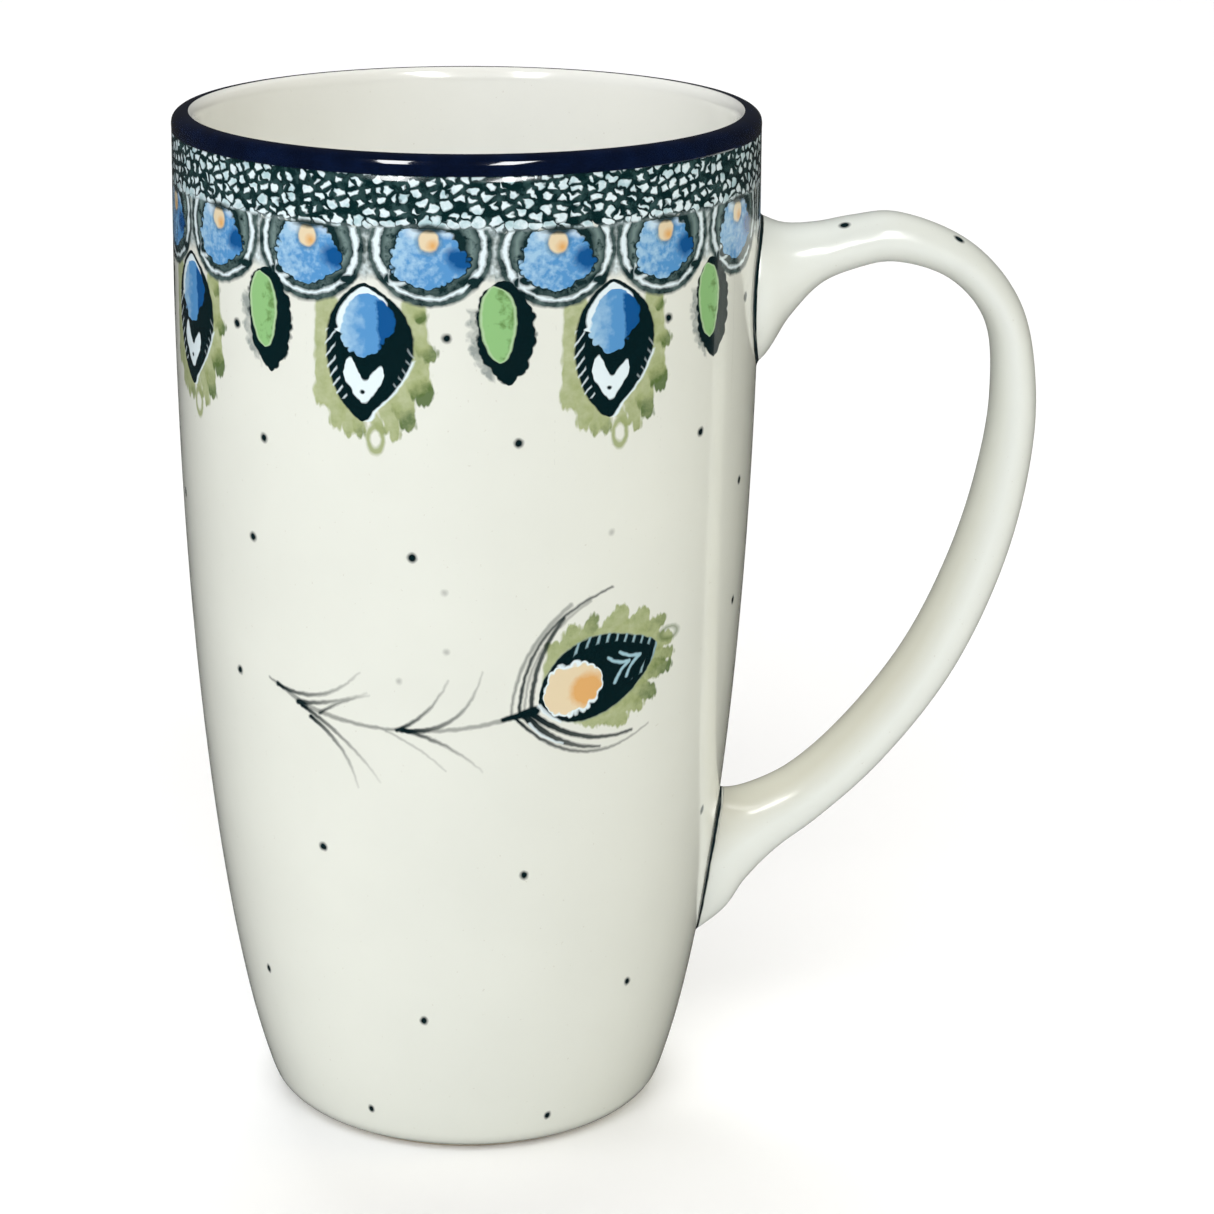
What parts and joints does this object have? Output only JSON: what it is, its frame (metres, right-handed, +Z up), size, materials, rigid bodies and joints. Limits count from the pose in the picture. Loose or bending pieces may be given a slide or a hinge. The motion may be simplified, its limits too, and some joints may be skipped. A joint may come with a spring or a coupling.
{
  "type": "tall stoneware mug",
  "caption": "Tall tapered stoneware mug with a loop handle, a dark glazed rim and painted peacock-feather decoration, for hot drinks.",
  "frame": {"origin": "on the cup's axis, in the plane that the foot ring rests on", "axes": "+Z up along the cup's axis, +X from the axis towards the handle, Y across the handle"},
  "size_m": [0.1233, 0.083, 0.148],
  "materials": {
    "bare_stoneware": "unglazed fired stoneware, pale grey-buff, matt and finely grained",
    "slip": "fired luting slip under the glaze, with a dark green painted line along the joint",
    "decorated_glaze": "glossy cream glaze over stamped and brushed peacock feathers in dark teal, cobalt blue, olive green and peach",
    "cream_glaze": "glossy cream-white clear glaze",
    "cobalt_glaze": "glossy near-black cobalt blue band"
  },
  "bodies": {
    "root": {"clay_cup": "bare_stoneware", "clay_handle": "bare_stoneware", "upper_handle_slip": "slip", "lower_handle_slip": "slip", "outer_glaze": "decorated_glaze", "handle_glaze": "cream_glaze", "inner_glaze": "cream_glaze", "base_glaze": "cream_glaze", "rim_band_glaze": "cobalt_glaze"}
  },
  "joints": []
}
